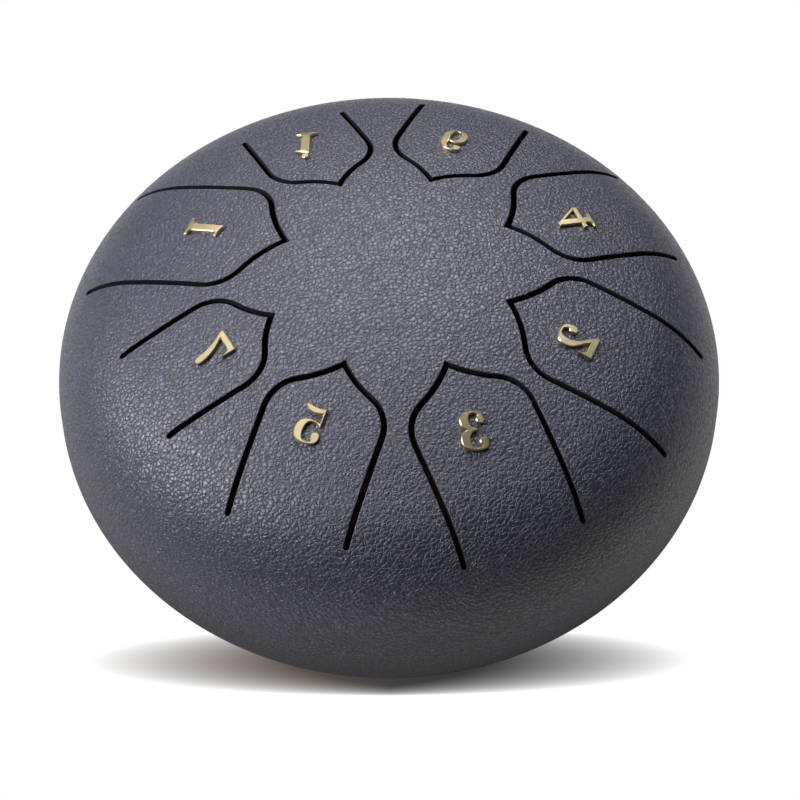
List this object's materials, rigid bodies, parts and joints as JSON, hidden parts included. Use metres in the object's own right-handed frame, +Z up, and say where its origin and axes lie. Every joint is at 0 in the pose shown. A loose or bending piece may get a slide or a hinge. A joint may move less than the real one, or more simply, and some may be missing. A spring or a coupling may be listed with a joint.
{
  "type": "steel tongue drum",
  "caption": "Round steel tongue drum of two welded domes, with numbered tongues cut in the top, a sound port below and rubber feet.",
  "frame": {"origin": "on the surface that the drum stands on, below its centre", "axes": "+Z up along the drum's axis; +X to the right and -Y towards the viewer in the picture"},
  "size_m": [0.155, 0.155, 0.088],
  "materials": {
    "coat": "baked slate-blue crackle coat over steel, half gloss",
    "gold": "bright gold-coloured metal",
    "rubber": "matt black rubber",
    "zinc": "zinc-plated steel"
  },
  "bodies": {
    "drum": {"upper_dome": "coat", "lower_dome": "coat", "seam_weld": "coat", "foot_front": "rubber", "foot_left": "rubber", "foot_right": "rubber", "foot_washers": "zinc", "foot_screws": "zinc", "foot_nuts": "zinc"},
    "note_1": {"tongue_1": "coat", "number_1": "gold"},
    "note_2": {"tongue_2": "coat", "number_2": "gold"},
    "note_3": {"tongue_3": "coat", "number_3": "gold"},
    "note_4": {"tongue_4": "coat", "number_4": "gold"},
    "note_5": {"tongue_5": "coat", "number_5": "gold"},
    "note_6": {"tongue_6": "coat", "number_6": "gold"},
    "note_7": {"tongue_7": "coat", "number_7": "gold"},
    "note_high_1": {"tongue_high_1": "coat", "number_high_1": "gold"}
  },
  "joints": [
    {"name": "tongue_1_bend", "type": "hinge", "parent": "drum", "child": "note_1", "pos_m": [-0.06445, 0.0226, 0.06905], "axis": [0.3309, 0.9437, 0], "range_deg": [-0.8, 0.8], "stiffness_Nm_per_rad": 115},
    {"name": "tongue_2_bend", "type": "hinge", "parent": "drum", "child": "note_2", "pos_m": [0.06618, -0.0238, 0.06676], "axis": [-0.3383, -0.941, 0], "range_deg": [-0.8, 0.8], "stiffness_Nm_per_rad": 116},
    {"name": "tongue_3_bend", "type": "hinge", "parent": "drum", "child": "note_3", "pos_m": [0.02907, -0.06298, 0.06791], "axis": [-0.908, -0.4191, 0], "range_deg": [-0.8, 0.8], "stiffness_Nm_per_rad": 119},
    {"name": "tongue_4_bend", "type": "hinge", "parent": "drum", "child": "note_4", "pos_m": [0.06064, 0.02944, 0.06992], "axis": [0.4368, -0.8996, 0], "range_deg": [-0.8, 0.8], "stiffness_Nm_per_rad": 123},
    {"name": "tongue_5_bend", "type": "hinge", "parent": "drum", "child": "note_5", "pos_m": [-0.02227, -0.06195, 0.07129], "axis": [-0.941, 0.3383, 0], "range_deg": [-0.8, 0.8], "stiffness_Nm_per_rad": 120},
    {"name": "tongue_6_bend", "type": "hinge", "parent": "drum", "child": "note_6", "pos_m": [0.02073, 0.05696, 0.07464], "axis": [0.9397, -0.342, 0], "range_deg": [-0.8, 0.8], "stiffness_Nm_per_rad": 134},
    {"name": "tongue_7_bend", "type": "hinge", "parent": "drum", "child": "note_7", "pos_m": [-0.05425, -0.02767, 0.0745], "axis": [-0.4544, 0.8908, 0], "range_deg": [-0.8, 0.8], "stiffness_Nm_per_rad": 129},
    {"name": "tongue_high_1_bend", "type": "hinge", "parent": "drum", "child": "note_high_1", "pos_m": [-0.02254, 0.05204, 0.07633], "axis": [0.9176, 0.3975, 0], "range_deg": [-0.8, 0.8], "stiffness_Nm_per_rad": 142}
  ]
}
